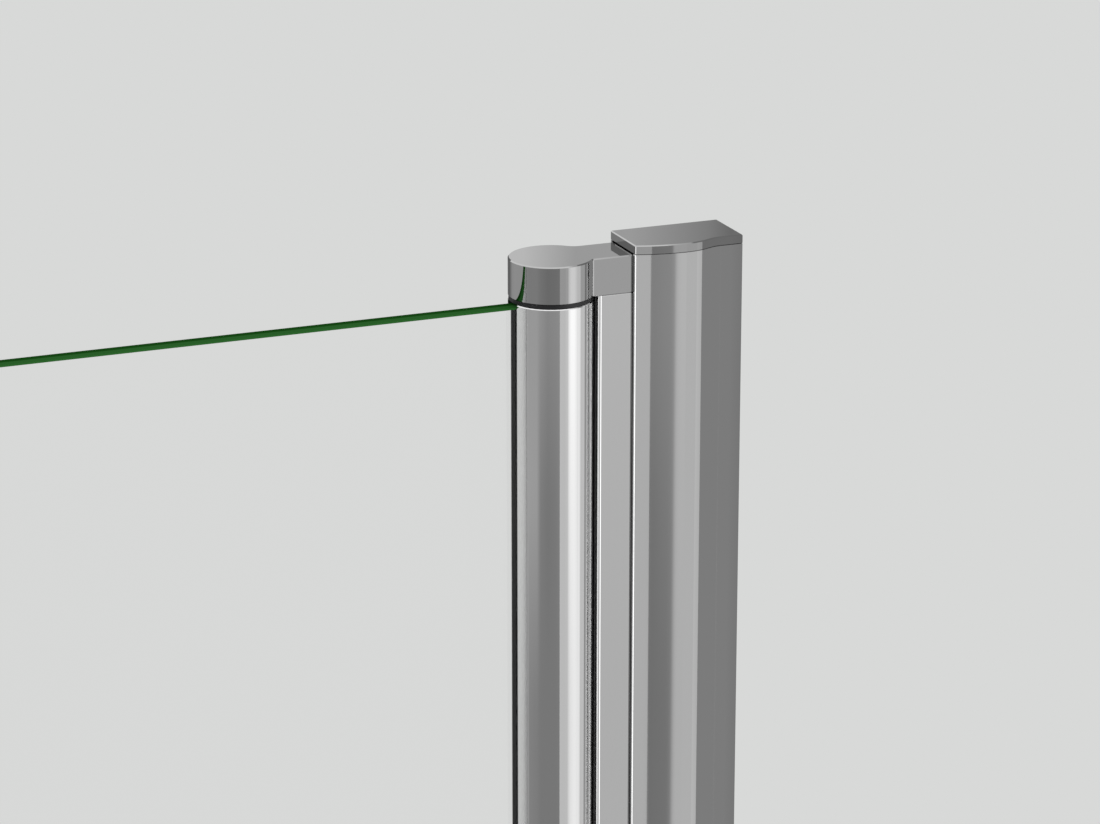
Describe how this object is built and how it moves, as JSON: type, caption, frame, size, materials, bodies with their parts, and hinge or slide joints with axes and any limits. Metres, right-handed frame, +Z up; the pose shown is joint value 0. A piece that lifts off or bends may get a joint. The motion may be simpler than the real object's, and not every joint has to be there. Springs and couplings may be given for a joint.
{
  "type": "pivot shower door",
  "caption": "Frameless glass door on a round hinge tube, turning on top and bottom pivots between two wall profiles, with magnetic closing and pull handles.",
  "frame": {"origin": "on the tray, in the middle of the niche's width and of the door's depth", "axes": "+X along the door towards the hinge-side wall, -Y to the outside, +Z up"},
  "size_m": [0.9, 0.101, 1.92],
  "materials": {
    "polished_aluminium": "polished and bright anodised",
    "chrome_casting": "bright chrome on a zinc casting",
    "chrome_handle": "bright chrome on brass",
    "stainless_steel": "turned, bright",
    "toughened_glass": "clear float glass, ground edges",
    "black_gasket": "extruded, satin black",
    "black_plastic": "moulded acetal, satin black",
    "clear_seal": "extruded clear PVC",
    "magnet_strip": "ferrite-filled strip, matt"
  },
  "bodies": {
    "wall_frame": {"hinge_wall_profile": "polished_aluminium", "strike_wall_profile": "polished_aluminium", "hinge_adjusting_profile": "polished_aluminium", "strike_adjusting_profile": "polished_aluminium", "sill_strip": "polished_aluminium", "hinge_profile_cap": "chrome_casting", "strike_profile_cap": "chrome_casting", "strike_nose_cap": "chrome_casting", "top_pivot_arm": "chrome_casting", "bottom_pivot_arm": "chrome_casting", "screw_cover_caps": "chrome_casting", "top_pivot_pin": "stainless_steel", "bottom_pivot_pin": "stainless_steel", "pivot_arm_screws": "stainless_steel", "profile_clamp_screws": "stainless_steel", "hinge_gap_seal": "black_gasket", "top_thrust_washer": "black_plastic", "bottom_thrust_washer": "black_plastic", "strike_magnet_seal": "clear_seal", "strike_magnet": "magnet_strip"},
    "door": {"hinge_tube": "polished_aluminium", "top_pivot_bush": "black_plastic", "bottom_pivot_bush": "black_plastic", "glass_pane": "toughened_glass", "outer_glass_gasket": "black_gasket", "inner_glass_gasket": "black_gasket", "glass_seat_strip": "black_gasket", "door_magnet_seal": "clear_seal", "door_magnet": "magnet_strip", "drip_seal": "clear_seal", "outer_pull_handle": "chrome_handle", "inner_pull_handle": "chrome_handle", "handle_studs": "stainless_steel", "handle_sleeves": "clear_seal", "handle_washers": "clear_seal", "handle_grub_screws": "stainless_steel"}
  },
  "joints": [
    {"name": "door_swing", "type": "hinge", "parent": "wall_frame", "child": "door", "pos_m": [0.3935, 0, 0], "axis": [0, 0, 1], "range_deg": [0, 90]}
  ]
}
